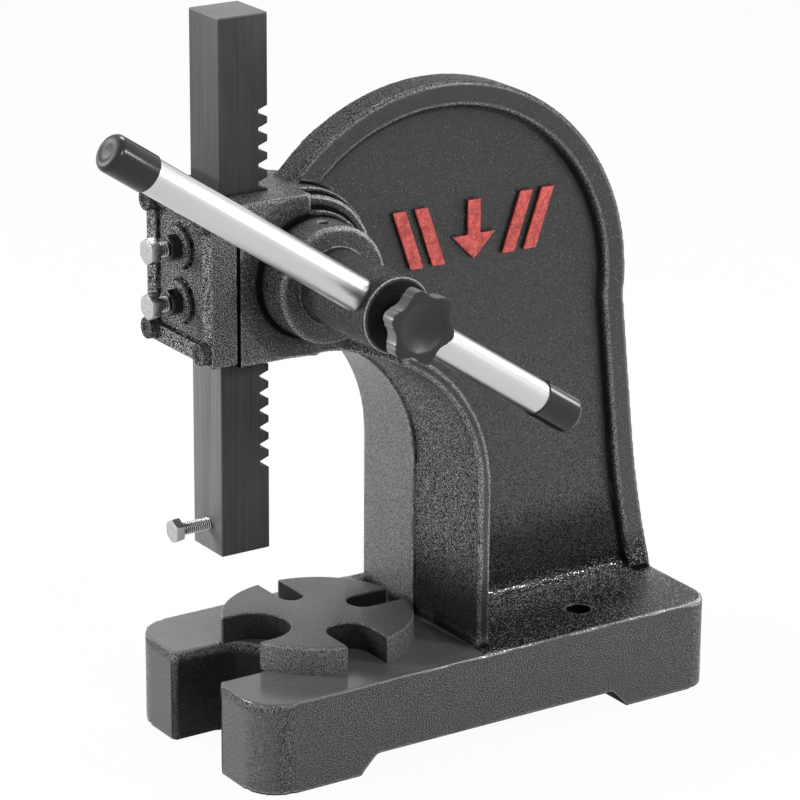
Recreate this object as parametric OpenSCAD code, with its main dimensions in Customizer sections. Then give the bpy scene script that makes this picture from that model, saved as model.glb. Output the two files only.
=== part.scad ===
// Bench arbor press: a square ram with a rack, moved by a pinion cut in the lever's shaft.
// Millimetres. The ram axis meets the bench at the origin. Front is -Y, the lever side +X, up +Z.

/* [Ram and rack] */
// Side of the square ram
ram_w = 25; // [23:0.5:27]
// Length of the ram
ram_len = 252; // [245:1:262]
// Height of the ram's lower end above the bench at rest
ram_rest = 102.5; // [98:0.5:106]
// Pitch of the rack teeth
rack_pitch = 8.27; // [8:0.01:8.5]
// Rack gaps below the one that the pinion stands in
gaps_below = 11; // [9:1:11]
// Rack gaps above the one that the pinion stands in
gaps_above = 9; // [7:1:10]
// Height of the rack's tooth tips above its pitch line
rack_addendum = 1.28; // [1.1:0.02:1.4]
// Depth of a rack gap
rack_depth = 4.6; // [4.4:0.05:4.8]
// Pressure angle of the teeth
flank_angle = 20; // [18:0.5:22]
// Free play between rack and pinion teeth
backlash = 0.3; // [0.2:0.05:0.4]
// Diameter of the tool bore in the ram's lower end
tool_bore_d = 10; // [8:0.5:11]
// Depth of the tool bore
tool_bore_deep = 25; // [20:1:30]
// Diameter of the bolt that clamps a tool
clamp_bolt_d = 6; // [5:0.5:7]
// Reach of the clamp bolt's head in front of the ram
clamp_bolt_reach = 19.3; // [16:0.1:22]

/* [Pinion, lever and knob] */
// Teeth of the pinion
pinion_teeth = 11; // [11:1:12]
// Height of the pinion's axis above the bench
shaft_z = 235.3; // [230:0.1:240]
// Reach of the shaft on the lever side, from the middle of the ram
shaft_reach = 100; // [96:0.5:106]
// Distance from the shaft's end to the lever's axis
lever_inset = 13; // [12:0.5:15]
// Diameter of the lever bar
lever_d = 16; // [14:0.5:17]
// Length of the lever bar without its caps
lever_len = 278.4; // [250:0.2:300]
// Slope of the lever, down towards the rear
lever_tilt = 33.9; // [20:0.1:45]
// How far the lever's middle stands out to the front at rest
lever_shift = 20.1; // [0:0.1:40]
// Length of a lever end cap
cap_len = 22.5; // [18:0.5:26]
// Wall of a lever end cap
cap_wall = 0.7; // [0.5:0.1:1.2]
// Thickness of a cap's closed end
cap_end = 4; // [3:0.5:6]
// Diameter of the knob over its lobes
knob_d = 34; // [30:0.5:36]
// Thickness of the knob's lobed head
knob_t = 8; // [7:0.5:10]
// Gap between the shaft's end and the lobed head
knob_stand = 11.5; // [9:0.5:13]
// Lobes of the knob
knob_lobes = 6; // [5:1:8]
// Turn of the first lobe from the rearward direction
knob_phase = 37.5; // [0:0.5:60]
// Diameter of the threaded stud in the knob
stud_d = 10; // [8:0.5:12]

/* [Base] */
// Width of the base
base_w = 120; // [110:1:130]
// Length of the base
base_len = 256; // [250:1:262]
// Distance from the ram axis to the base's front
base_front = 20; // [18:0.5:24]
// Height of the base
base_h = 45; // [42:0.5:48]
// Radius of the base's front corners
front_corner_r = 17; // [12:0.5:19]
// Radius of the base's rear corners
rear_corner_r = 13; // [8:0.5:16]
// Width of the fork slot under the ram
slot_w = 40.8; // [36:0.2:44]
// Radius of the corners of the slot's mouth
slot_mouth_r = 2.5; // [1.5:0.5:4]
// Height of the hollow under the base
relief_h = 9; // [7:0.5:11]
// Rear end of the front feet
front_foot_y = 33; // [28:0.5:36]
// Front end of the rear foot
rear_foot_y = 185; // [182:0.5:190]
// Slant of the feet over the hollow's height
foot_slant = 9; // [6:0.5:10]
// Diameter of the bench bolt holes
bench_hole_d = 11; // [9:0.5:12]
// Distance between the bench bolt holes
bench_hole_gap = 72.6; // [68:0.2:80]
// Distance of the bench bolt holes behind the ram axis
bench_hole_y = 172.3; // [160:0.1:175]

/* [Column and head] */
// Distance from the ram axis to the middle of the column's front
column_y = 101; // [98:0.5:104]
// Width of the column's front flange
flange_w = 101.2; // [96:0.2:106]
// How far the flange's edges stand back from its middle ridge
flange_vee = 3.2; // [2:0.1:4]
// Thickness of the flange at its edges
flange_t = 6.3; // [5.5:0.1:8]
// Radius of the throat under the head
throat_r = 72; // [70:0.5:73]
// Step in the ridge where the two mould halves met
mould_step = 1.2; // [0.6:0.1:1.8]
// Thickness of the web behind the flange
web_t = 9.5; // [8:0.1:11]
// Thickness of the rim around the web
rim_t = 17.5; // [15:0.1:20]
// Width of the rim
rim_w = 11.7; // [10:0.1:14]
// Radius of the arch
arch_r = 107.6; // [105:0.1:110]
// Distance from the ram axis to the middle of the arch
arch_y = 108.6; // [107:0.1:110]
// Height of the arch's middle above the bench
arch_z = 201.1; // [198:0.1:204]
// Slope of the rear edge
rear_slope = 6.2; // [5:0.1:7]
// Height where the rear edge starts to flare
flare_z = 118; // [110:1:125]
// Radius of the rear flare
flare_r = 490; // [450:5:600]
// Radius of the fillets at the web's foot
foot_fillet = 9; // [6:0.5:10]
// Radius of the fillet in front of the column
front_fillet = 4; // [3:0.5:5]
// Radius of the fillet inside the rim
rim_fillet = 3.5; // [2:0.1:3.8]
// Width of the head
head_w = 57.4; // [56:0.2:60]
// Height of the head above the pinion's axis
head_up = 38; // [37:0.1:40]
// Depth of the head below the pinion's axis
head_down = 37.3; // [36.5:0.1:38]
// Radius of the boss on each side of the head
boss_r = 27.4; // [25:0.1:29]
// Distance from the middle of the ram to the boss's face
boss_x = 48; // [46:0.5:52]
// Diameter of the oil hole in the boss
oil_hole_d = 4.5; // [3:0.5:6]
// Height of the cast motif on the web
motif_h = 29; // [24:0.5:32]
// How far the motif stands out of the web
motif_rise = 2.4; // [1.5:0.1:3]

/* [Front cap and gib] */
// Thickness of the front cap
cap_plate_t = 14; // [12:0.5:16]
// Width of the cap's raised border
cap_border = 8; // [7:0.2:9]
// Depth of the panel inside the border
cap_recess = 2; // [1:0.1:3]
// Radius of the pads around the adjusting screws
pad_r = 9.5; // [8.5:0.1:10.5]
// Height of those pads above the panel
pad_rise = 3; // [2:0.1:4]
// Diameter of the adjusting screws
adjuster_d = 7; // [6:0.5:8]
// Distance between the adjusting screws
adjuster_gap = 25.5; // [22:0.5:28]
// Width across flats of the adjusters and lock nuts
adjuster_af = 11; // [10:0.5:12]
// Thickness of a lock nut
nut_t = 5.5; // [4.5:0.1:6]
// Thread left bare between nut and head
bare_thread = 5.4; // [3:0.2:8]
// Thickness of an adjuster's head
adjuster_head = 4.5; // [4:0.1:5.5]
// Diameter of the cap screws
cap_screw_d = 6; // [5:0.5:6.5]
// Diameter of a cap screw's head
cap_screw_head_d = 10.2; // [9:0.1:10.5]
// Height of a cap screw's head
cap_screw_head = 6; // [5:0.2:7]
// Width of the gib strip
gib_w = 20; // [17:0.5:21]
// Thickness of the gib strip
gib_t = 4; // [3:0.5:5]

/* [Anvil plate] */
// Radius of the anvil plate
plate_r = 45.6; // [43:0.2:47]
// Thickness of the anvil plate
plate_t = 13.5; // [12:0.5:15]
// Distance from the ram axis to the plate's pivot
plate_y = 46.4; // [44:0.2:48]
// Solid left between the plate's middle and the end of each notch
plate_core = 17.5; // [16:0.5:20]
// Width of the widest notch, under the ram
notch_front = 35; // [32:0.5:38]
// Width of the notch on the lever side
notch_right = 22; // [20:0.5:25]
// Width of the notch towards the column
notch_rear = 16; // [14:0.5:19]
// Width of the narrowest notch
notch_left = 12; // [10:0.5:13]
// Diameter of the plate's pivot pin
pivot_d = 12; // [10:0.5:14]
// Depth of the pivot pin in the base
pivot_deep = 14; // [10:0.5:18]

/* [Hidden] */
$fn = 96;
SLIDE_GAP = 0.1;         // play of flat faces that slide on each other
RUN_GAP = 0.05;          // radial play of a turning or sliding round piece
SEAT_GAP = 0.02;         // radial play of a screw or pin that stays put
STEP = 0.8;              // small chamfers, rebates and rounded steps
OVER = 1;                // how far a cutter runs past what it cuts

pitch_r = rack_pitch * pinion_teeth / (2 * PI);
base_circle_r = pitch_r * cos(flank_angle);
tip_clear = 0.7;
root_clear = 0.4;
tip_r = pitch_r + rack_depth - rack_addendum - tip_clear;
root_r = pitch_r - rack_addendum - root_clear;
shaft_r = tip_r + 0.2;
shaft_y = ram_w / 2 - rack_addendum + pitch_r;
tooth_w = rack_pitch / 2 - backlash / 2;
toothed_half = ram_w / 2 + 0.7;

lever_x = shaft_reach - lever_inset;
cap_grip = cap_len - cap_end;
knob_back = shaft_reach + knob_stand;
knob_front = knob_back + knob_t;
stud_tip = lever_x + lever_d / 2 + 0.3;

rear_y = base_len - base_front;
head_low = shaft_z - head_down;
head_top = shaft_z + head_up;
seam_y = -ram_w / 2 - SLIDE_GAP;
throat_y = column_y - throat_r;
throat_z = head_low - throat_r - 2;
flange_turn = atan(flange_vee / (flange_w / 2));
flange_back = column_y + flange_vee + flange_t;

flare_start = [
  arch_y + arch_r * cos(rear_slope) + (arch_z - arch_r * sin(rear_slope) - flare_z) * tan(rear_slope),
  flare_z
];
flare_middle = flare_start + flare_r * [cos(rear_slope), sin(rear_slope)];

cap_low = head_low + 2;
cap_top = head_top - 0.8;
cap_h = cap_top - cap_low;
cap_mid = (cap_low + cap_top) / 2;
cap_face = seam_y - cap_plate_t;
panel_face = cap_face + cap_recess;
pad_face = panel_face - pad_rise;
nut_face = pad_face - nut_t;
adjuster_neck = nut_face - bare_thread;
adjuster_zs = [shaft_z + 1.7 - adjuster_gap / 2, shaft_z + 1.7 + adjuster_gap / 2];
screw_x = head_w / 2 - cap_screw_head_d / 2 - 0.3;
screw_z = cap_h / 2 - cap_screw_head_d / 2 - 0.9;
cap_screw_grip = 14;
gib_h = cap_h - 6;
gib_face = seam_y - gib_t;

plate_low = base_h + SLIDE_GAP / 2;
pin_in_plate = 8;
clamp_z = ram_rest + tool_bore_deep / 2;

web_side = web_t / 2;
rim_side = rim_t / 2;
motif_y = arch_y + 20;
motif_z = shaft_z - motif_h / 2;

// Stands a drawing in Y and Z on its edge, as a slab of the given thickness in the middle of X.
module side_slab(thick) {
  rotate([90, 0, 90]) translate([0, 0, -thick / 2]) linear_extrude(thick) children();
}

// A round bar along X between two places.
module bar_x(r, x_from, x_to) {
  translate([x_from, 0, 0]) rotate([0, 90, 0]) cylinder(r = r, h = x_to - x_from);
}

// A round bar along Y between two places.
module bar_y(r, y_from, y_to) {
  translate([0, y_from, 0]) rotate([-90, 0, 0]) cylinder(r = r, h = y_to - y_from);
}

// A six-sided bar along Y between two places, one corner up.
module hex_y(across_flats, y_from, y_to) {
  translate([0, y_from, 0]) rotate([-90, 30, 0])
    cylinder(d = across_flats / cos(30), h = y_to - y_from, $fn = 6);
}

// The sliver between a square corner and the arc that rounds or fills it.
module corner(r) {
  difference() {
    translate([-OVER, -OVER]) square(r + OVER);
    translate([r, r]) circle(r);
  }
}

// The same sliver without the overrun, for a fillet that must not pass the faces it joins.
module fillet(r) {
  difference() {
    translate([-STEP, -STEP]) square(r + STEP);
    translate([r, r]) circle(r);
  }
}

// Seen from above: the base with its rounded corners and the fork slot under the ram.
module base_plan() {
  difference() {
    translate([-base_w / 2, -base_front]) square([base_w, base_len]);
    for (side = [0, 1]) mirror([side, 0]) {
      translate([-base_w / 2, -base_front]) corner(front_corner_r);
      translate([-base_w / 2, rear_y]) mirror([0, 1]) corner(rear_corner_r);
      translate([slot_w / 2, -base_front]) corner(slot_mouth_r);
    }
    circle(d = slot_w);
    translate([-slot_w / 2, -base_front - OVER]) square([slot_w, base_front + OVER]);
  }
}

// The hollow between the front and rear feet.
module foot_relief() {
  side_slab(base_w + 2 * OVER) polygon([
    [front_foot_y - OVER * foot_slant / relief_h, -OVER],
    [front_foot_y + foot_slant, relief_h],
    [rear_foot_y - foot_slant, relief_h],
    [rear_foot_y + OVER * foot_slant / relief_h, -OVER]
  ]);
}

// Seen from the side: the arch and the rear edge below it, drawn in by the inset.
module arch_outline(inset) {
  difference() {
    union() {
      intersection() {
        translate([arch_y, arch_z]) circle(arch_r - inset);
        translate([arch_y - arch_r, arch_z - arch_r * sin(rear_slope)])
          square([2 * arch_r, arch_r * (1 + sin(rear_slope))]);
      }
      intersection() {
        polygon([
          [arch_y - arch_r / 2, arch_z],
          [arch_y, arch_z],
          [arch_y + (arch_r - inset) * cos(rear_slope), arch_z - (arch_r - inset) * sin(rear_slope)],
          flare_start - inset * [cos(rear_slope), sin(rear_slope)],
          [rear_y, flare_z - (rear_y - flare_start[0])],
          [rear_y, base_h - OVER],
          [arch_y - arch_r / 2, base_h - OVER]
        ]);
        translate([column_y - throat_r, base_h - OVER]) square([base_len, arch_r + arch_z]);
      }
    }
    translate(flare_middle) circle(flare_r + inset, $fn = 720);
  }
}

// What the throat takes out of a side view: everything in front of the flange.
module throat_outline() {
  reach = throat_r + flange_vee + flange_t / 2;
  translate([throat_y, throat_z]) circle(reach);
  translate([-base_front, 0]) square([throat_y + reach + base_front, throat_z]);
  translate([-base_front, 0]) square([throat_y + base_front, throat_z + reach]);
}

// The flange's section: x is outward from the throat, y to the left, where the mould half stands proud.
module flange_section(outward) {
  edge = outward + flange_vee;
  polygon([
    [outward - mould_step, 0],
    [edge, flange_w / 2],
    [edge + flange_t, flange_w / 2],
    [edge + flange_t, -flange_w / 2],
    [edge, -flange_w / 2],
    [outward, 0]
  ]);
}

// Seen from above: the bent part of the flange, drawn in to the head's width as it runs under it.
module flange_plan() {
  narrow_y = throat_y + 15;
  wide_y = throat_y + 34;
  for (side = [0, 1]) mirror([side, 0]) polygon([
    [-OVER, throat_y], [head_w / 2, throat_y], [head_w / 2, narrow_y],
    [flange_w / 2 + OVER, wide_y], [flange_w / 2 + OVER, flange_back + OVER], [-OVER, flange_back + OVER]
  ]);
}

// The column's front: straight from the base, then bent forward under the head.
module flange() {
  translate([0, 0, base_h - OVER]) linear_extrude(throat_z - base_h + OVER)
    rotate(90) flange_section(column_y);
  intersection() {
    translate([0, throat_y, throat_z]) rotate([0, -90, 0]) rotate_extrude($fn = 180)
      flange_section(throat_r);
    translate([0, 0, throat_z]) linear_extrude(2 * throat_r) flange_plan();
  }
}

// Fillets where the flange and the web stand on the base and where they meet each other.
module foot_fillets() {
  for (side = [0, 1]) mirror([side, 0, 0]) {
    translate([0, column_y, base_h]) rotate([0, 0, flange_turn])
      rotate([90, 0, 90]) linear_extrude(flange_w / 2 / cos(flange_turn) - STEP) mirror([1, 0]) fillet(front_fillet);
    translate([web_side, rear_y - rim_w, base_h]) rotate([90, 0, 0])
      linear_extrude(rear_y - rim_w - flange_back) fillet(foot_fillet);
    translate([web_side, flange_back, base_h - OVER])
      linear_extrude(throat_z - base_h + OVER) fillet(foot_fillet);
  }
}

// The hollow curve between the web and the rim: around the arch, down the rear edge and along the flare.
module rim_fillets() {
  inner_r = arch_r - rim_w;
  inner_flare = flare_r + rim_w;
  bend_z = arch_z - inner_r * sin(rear_slope);
  flare_top = flare_start - rim_w * [cos(rear_slope), sin(rear_slope)];
  for (side = [0, 1]) mirror([side, 0, 0]) {
    intersection() {
      translate([0, arch_y, arch_z]) rotate([0, 90, 0]) rotate_extrude($fn = 180)
        translate([inner_r, web_side]) mirror([1, 0]) fillet(rim_fillet);
      translate([0, shaft_y, bend_z]) cube([rim_t, 2 * arch_r, 2 * arch_r]);
    }
    translate([0, arch_y + inner_r * cos(rear_slope), bend_z]) rotate([rear_slope, 0, 0])
      mirror([0, 0, 1]) linear_extrude((bend_z - flare_top[1]) / cos(rear_slope))
        translate([web_side, 0]) mirror([0, 1]) fillet(rim_fillet);
    intersection() {
      translate([0, flare_middle[0], flare_middle[1]]) rotate([0, 90, 0]) rotate_extrude($fn = 720)
        translate([inner_flare, web_side]) fillet(rim_fillet);
      translate([0, arch_y, base_h - OVER]) cube([rim_t, rear_y - arch_y, flare_top[1] - base_h + OVER]);
    }
  }
}

// The block around the ram, with the stepped round boss for the pinion shaft on both sides.
module head() {
  under_y = throat_y + 15;
  ring_fillet = rim_side - web_side;
  translate([-head_w / 2, seam_y, head_low]) cube([head_w, shaft_y - seam_y, head_top - head_low]);
  translate([-head_w / 2, shaft_y - OVER, head_low]) cube([head_w, under_y - shaft_y + OVER, head_down / 4]);
  side_slab(head_w) polygon([
    [ram_w / 2, head_low + STEP], [ram_w / 2, head_low],
    [throat_y, throat_z + throat_r + STEP], [throat_y + STEP, head_low + STEP]
  ]);
  translate([0, shaft_y, shaft_z]) rotate([0, 90, 0]) rotate_extrude($fn = 180) boss_section();
  intersection() {
    translate([0, shaft_y, shaft_z]) rotate([0, 90, 0]) rotate_extrude($fn = 180)
      for (side = [0, 1]) mirror([0, side]) translate([head_up, web_side]) fillet(ring_fillet);
    side_slab(head_w) difference() {
      arch_outline(0);
      square([shaft_y + rim_w, 2 * arch_z]);
      square([2 * arch_r, shaft_z]);
    }
  }
}

// Half section of the boss: radius across, distance from the middle of the ram upwards.
module boss_section() {
  step_x = head_w / 3.2;
  for (side = [0, 1]) mirror([0, side]) {
    square([head_up, step_x]);
    square([head_up - 2.4, step_x + 6]);
    square([head_up - 8.2, head_w / 2]);
    difference() {
      square([boss_r, boss_x]);
      translate([boss_r, boss_x]) rotate(180) corner(3 * STEP);
    }
    translate([boss_r, head_w / 2 - STEP]) fillet(3 * STEP);
  }
}

// Cast iron body with its machined ram channel, shaft bore, pivot hole and bolt holes.
module frame_casting() {
  color("dimgray") difference() {
    union() {
      difference() {
        linear_extrude(base_h) base_plan();
        foot_relief();
      }
      side_slab(web_t) difference() {
        arch_outline(0);
        throat_outline();
      }
      side_slab(rim_t) difference() {
        arch_outline(0);
        arch_outline(rim_w);
        throat_outline();
      }
      rim_fillets();
      flange();
      foot_fillets();
      head();
    }
    ram_channel();
    translate([0, shaft_y, shaft_z]) bar_x(shaft_r + RUN_GAP, -boss_x - OVER, boss_x + OVER);
    for (side = [-1, 1]) {
      translate([side * (boss_x + head_w / 2) / 2, shaft_y, shaft_z])
        cylinder(d = oil_hole_d, h = head_up + OVER);
      translate([side * bench_hole_gap / 2, bench_hole_y, -OVER])
        cylinder(d = bench_hole_d, h = base_h + 2 * OVER);
    }
    translate([0, plate_y, base_h - pivot_deep - OVER])
      cylinder(r = pivot_d / 2 + RUN_GAP, h = pivot_deep + 2 * OVER);
    at_cap_screws() bar_y(cap_screw_d / 2 + SEAT_GAP, seam_y - OVER, seam_y + cap_screw_grip + OVER);
  }
}

// The square way for the ram, open to the front where the cap closes it.
module ram_channel() {
  side = ram_w + 2 * SLIDE_GAP;
  translate([-side / 2, seam_y - OVER, throat_z])
    cube([side, ram_w / 2 + SLIDE_GAP - seam_y + OVER, head_top - throat_z + arch_r]);
}

// A raised arrow in the direction of the ram's stroke, between slanted bars, cast on the web.
module cast_motif() {
  color("firebrick") translate([web_side, motif_y, motif_z]) rotate([90, 0, 90])
    linear_extrude(motif_rise) motif_outline();
}

module motif_outline() {
  bar = 0.25 * motif_h;
  slant = 0.35 * motif_h;
  pitch = 0.42 * motif_h;
  head = 0.42 * motif_h;
  polygon([
    [0, 0], [head, head], [bar / 2, head], [bar / 2, motif_h],
    [-bar / 2, motif_h], [-bar / 2, head], [-head, head]
  ]);
  for (side = [0, 1], step = [0, 1]) mirror([side, 0]) translate([0.55 * motif_h + step * pitch, 0])
    polygon([[0, 0], [bar, 0], [bar + slant, motif_h], [slant, motif_h]]);
}

// Puts a screw at each corner of the front cap.
module at_cap_screws() {
  for (x = [-screw_x, screw_x], z = [-screw_z, screw_z]) translate([x, 0, cap_mid + z]) children();
}

// Cover of the ram channel: a bordered plate with pads for the adjusters and a pocket for the gib.
module front_cap() {
  color("dimgray") difference() {
    union() {
      difference() {
        translate([-head_w / 2, cap_face, cap_low]) cube([head_w, cap_plate_t - STEP, cap_h]);
        translate([-head_w / 2 + cap_border, cap_face - OVER, cap_low + cap_border])
          cube([head_w - 2 * cap_border, cap_recess + OVER, cap_h - 2 * cap_border]);
      }
      translate([-head_w / 2 + STEP, cap_face + cap_recess, cap_low + STEP])
        cube([head_w - 2 * STEP, cap_plate_t - cap_recess, cap_h - 2 * STEP]);
      for (z = adjuster_zs) translate([0, 0, z]) bar_y(pad_r, pad_face, seam_y - gib_t - OVER);
    }
    translate([-gib_w / 2 - SLIDE_GAP, gib_face, cap_mid - gib_h / 2 - SLIDE_GAP])
      cube([gib_w + 2 * SLIDE_GAP, gib_t + OVER, gib_h + 2 * SLIDE_GAP]);
    for (z = adjuster_zs) translate([0, 0, z]) bar_y(adjuster_d / 2 + SEAT_GAP, pad_face - OVER, seam_y);
    at_cap_screws() bar_y(cap_screw_d / 2 + SEAT_GAP, cap_face - OVER, seam_y + OVER);
    at_cap_screws() bar_y(cap_screw_head_d / 2 + SLIDE_GAP, cap_face - OVER, panel_face);
  }
}

// Flat strip that the adjusters press against the ram.
module gib_strip() {
  color("slategray") translate([-gib_w / 2, gib_face, cap_mid - gib_h / 2]) cube([gib_w, gib_t, gib_h]);
}

// Socket-head screw through a corner of the cap into the head.
module cap_screw(x, z) {
  socket_d = 0.58 * cap_screw_head_d;
  color("black") translate([x, 0, cap_mid + z]) difference() {
    union() {
      bar_y(cap_screw_d / 2, panel_face - OVER, seam_y + cap_screw_grip);
      bar_y(cap_screw_head_d / 2, panel_face - cap_screw_head, panel_face);
    }
    hex_y(socket_d * cos(30), panel_face - cap_screw_head - OVER, panel_face - cap_screw_head / 2);
  }
}

// Hex screw that sets the gib, with its bare thread in front of the nut.
module adjusting_screw(z) {
  color("silver") translate([0, 0, z]) {
    bar_y(adjuster_d / 2, adjuster_neck - OVER, gib_face);
    hex_y(adjuster_af, adjuster_neck - adjuster_head, adjuster_neck);
  }
}

// Lock nut of an adjusting screw, tight on its pad.
module lock_nut(z) {
  color("black") translate([0, 0, z]) difference() {
    hex_y(adjuster_af, nut_face, pad_face);
    bar_y(adjuster_d / 2 + SEAT_GAP, nut_face - OVER, pad_face + OVER);
  }
}

// Seen from the side: one rack gap at height zero, open to the rear.
module rack_gap() {
  slope = tan(flank_angle);
  at_tip = rack_pitch - tooth_w + 2 * rack_addendum * slope;
  at_root = at_tip - 2 * rack_depth * slope;
  polygon([
    [-rack_depth, -at_root / 2], [OVER, -at_tip / 2 - OVER * slope],
    [OVER, at_tip / 2 + OVER * slope], [-rack_depth, at_root / 2]
  ]);
}

// Square steel ram: the rack is cut in its rear face and a tool bore in its lower end.
module ram() {
  color("gray") difference() {
    translate([-ram_w / 2, -ram_w / 2, ram_rest]) cube([ram_w, ram_w, ram_len]);
    for (gap = [-gaps_below : gaps_above])
      translate([0, ram_w / 2, shaft_z + gap * rack_pitch]) side_slab(ram_w + 2 * OVER) rack_gap();
    translate([0, 0, ram_rest - OVER]) cylinder(d = tool_bore_d, h = tool_bore_deep + OVER);
    translate([0, 0, clamp_z]) bar_y(clamp_bolt_d / 2 + SEAT_GAP, -ram_w, 0);
  }
}

// Hex bolt in the ram's front that clamps a tool in the bore.
module tool_clamp_bolt() {
  head_t = 0.65 * clamp_bolt_d;
  head_y = -ram_w / 2 - clamp_bolt_reach;
  color("silver") translate([0, 0, clamp_z]) {
    bar_y(clamp_bolt_d / 2, head_y + head_t - STEP, -tool_bore_d / 2 - 0.3);
    hex_y(1.65 * clamp_bolt_d, head_y, head_y + head_t);
  }
}

// Angle between a radius and its point on the involute, in degrees.
function involute(r) =
  let (along = acos(base_circle_r / r)) tan(along) * 180 / PI - along;

// Half the angle that a pinion tooth takes up at a radius.
function tooth_half(r) =
  tooth_w / (2 * pitch_r) * 180 / PI + involute(pitch_r) - involute(max(r, base_circle_r));

// Outline of the pinion, with one tooth along the first axis.
module pinion_outline() {
  flank_points = 6;
  flank_rs = [for (i = [0 : flank_points]) base_circle_r + (tip_r - base_circle_r) * i / flank_points];
  rising = concat([[root_r, -1]], [for (r = flank_rs) [r, -1]]);
  falling = concat([for (i = [flank_points : -1 : 0]) [flank_rs[i], 1]], [[root_r, 1]]);
  polygon([
    for (tooth = [0 : pinion_teeth - 1], p = concat(rising, falling))
      let (turn = tooth * 360 / pinion_teeth + p[1] * tooth_half(p[0]))
      p[0] * [cos(turn), sin(turn)]
  ]);
}

// Steel shaft with the pinion teeth cut in it, a cross hole for the lever and a hole for the stud.
module pinion_shaft() {
  color("dimgray") translate([0, shaft_y, shaft_z]) difference() {
    union() {
      bar_x(shaft_r, -boss_x, -toothed_half);
      bar_x(shaft_r, toothed_half, shaft_reach - 2 * STEP);
      translate([shaft_reach - 2 * STEP, 0, 0]) rotate([0, 90, 0])
        cylinder(r1 = shaft_r, r2 = shaft_r - 2 * STEP, h = 2 * STEP);
      rotate([0, -90, 180]) translate([0, 0, -toothed_half - STEP])
        linear_extrude(2 * toothed_half + 2 * STEP) rotate(90) pinion_outline();
    }
    along_lever() cylinder(r = lever_d / 2 + RUN_GAP, h = 4 * shaft_r, center = true);
    for (way = [0, 180]) along_lever() rotate([way, 0, 0]) translate([0, 0, shaft_r - 2 * STEP])
      cylinder(r1 = lever_d / 2 + RUN_GAP, r2 = lever_d / 2 + 4 * STEP, h = 4 * STEP);
    bar_x(stud_d / 2 + RUN_GAP, lever_x, shaft_reach + OVER);
  }
}

// Turns a piece drawn along Z into the lever's direction, seen from the shaft's axis.
module along_lever() {
  translate([lever_x, 0, 0]) rotate([-90 - lever_tilt, 0, 0]) children();
}

// Puts a piece drawn along Z on the lever, at its middle, pointing to the rear end.
module on_lever() {
  translate([0, shaft_y, shaft_z]) along_lever() translate([0, 0, -lever_shift]) children();
}

// Round bar that slides through the shaft.
module lever_bar() {
  color("silver") on_lever() cylinder(d = lever_d, h = lever_len, center = true);
}

// Push-on cap over one end of the lever bar.
module lever_cap(way) {
  outer_r = lever_d / 2 + cap_wall;
  color("black") on_lever() rotate([way, 0, 0]) translate([0, 0, lever_len / 2 - cap_grip])
    difference() {
      rotate_extrude() difference() {
        square([outer_r, cap_len]);
        translate([outer_r, cap_len]) rotate(180) corner(cap_end - STEP);
      }
      translate([0, 0, -OVER]) cylinder(d = lever_d, h = cap_grip + OVER);
    }
}

// Seen along the shaft: the lobed edge of the knob.
module knob_outline() {
  lobe_r = 0.105 * knob_d;
  scoop_r = 0.21 * knob_d;
  difference() {
    union() {
      circle(0.455 * knob_d);
      for (lobe = [0 : knob_lobes - 1]) rotate(lobe * 360 / knob_lobes)
        translate([knob_d / 2 - lobe_r, 0]) circle(lobe_r);
    }
    for (lobe = [0 : knob_lobes - 1]) rotate((lobe + 0.5) * 360 / knob_lobes)
      translate([0.615 * knob_d, 0]) circle(scoop_r);
  }
}

// Star knob with a dished face, moulded on its stud, which tightens on the lever.
module clamp_knob() {
  dish_r = knob_d * 0.335;
  dish_ball = 26;
  neck_r = 0.27 * knob_d;
  color("black") translate([0, shaft_y, shaft_z]) difference() {
    union() {
      translate([knob_back, 0, 0]) rotate([90, 0, 90]) linear_extrude(knob_t)
        rotate(knob_phase) knob_outline();
      bar_x(neck_r, shaft_reach + knob_stand / 3, knob_back + STEP);
    }
    translate([knob_front + sqrt(dish_ball * dish_ball - dish_r * dish_r), 0, 0]) sphere(dish_ball);
    bar_x(stud_d / 2, shaft_reach, knob_back + knob_t / 4);
  }
}

// Threaded stud of the knob, which presses on the lever inside the shaft.
module clamp_stud() {
  color("silver") translate([0, shaft_y, shaft_z]) bar_x(stud_d / 2, stud_tip, knob_back + knob_t / 4);
}

// A notch in the plate, open outwards, with a round inner end.
module plate_notch(width) {
  translate([plate_core + width / 2, 0]) circle(d = width);
  translate([plate_core + width / 2, -width / 2]) square([plate_r, width]);
}

// Loose cast plate on the base, turned to bring one of four notches under the ram.
module anvil_plate() {
  notches = [notch_right, notch_rear, notch_left, notch_front];
  color("gray") translate([0, plate_y, plate_low]) difference() {
    rotate_extrude($fn = 180) difference() {
      square([plate_r, plate_t]);
      translate([plate_r, plate_t]) rotate(180) corner(2 * STEP);
    }
    translate([0, 0, -OVER]) linear_extrude(plate_t + 2 * OVER)
      for (turn = [0 : 3]) rotate(turn * 90) plate_notch(notches[turn]);
    translate([0, 0, -OVER]) cylinder(d = pivot_d, h = pin_in_plate + OVER);
  }
}

// Dowel under the plate, free to turn in the base.
module plate_pivot_pin() {
  color("silver") translate([0, plate_y, base_h - pivot_deep])
    cylinder(d = pivot_d, h = pivot_deep + pin_in_plate + SLIDE_GAP / 2);
}

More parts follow.
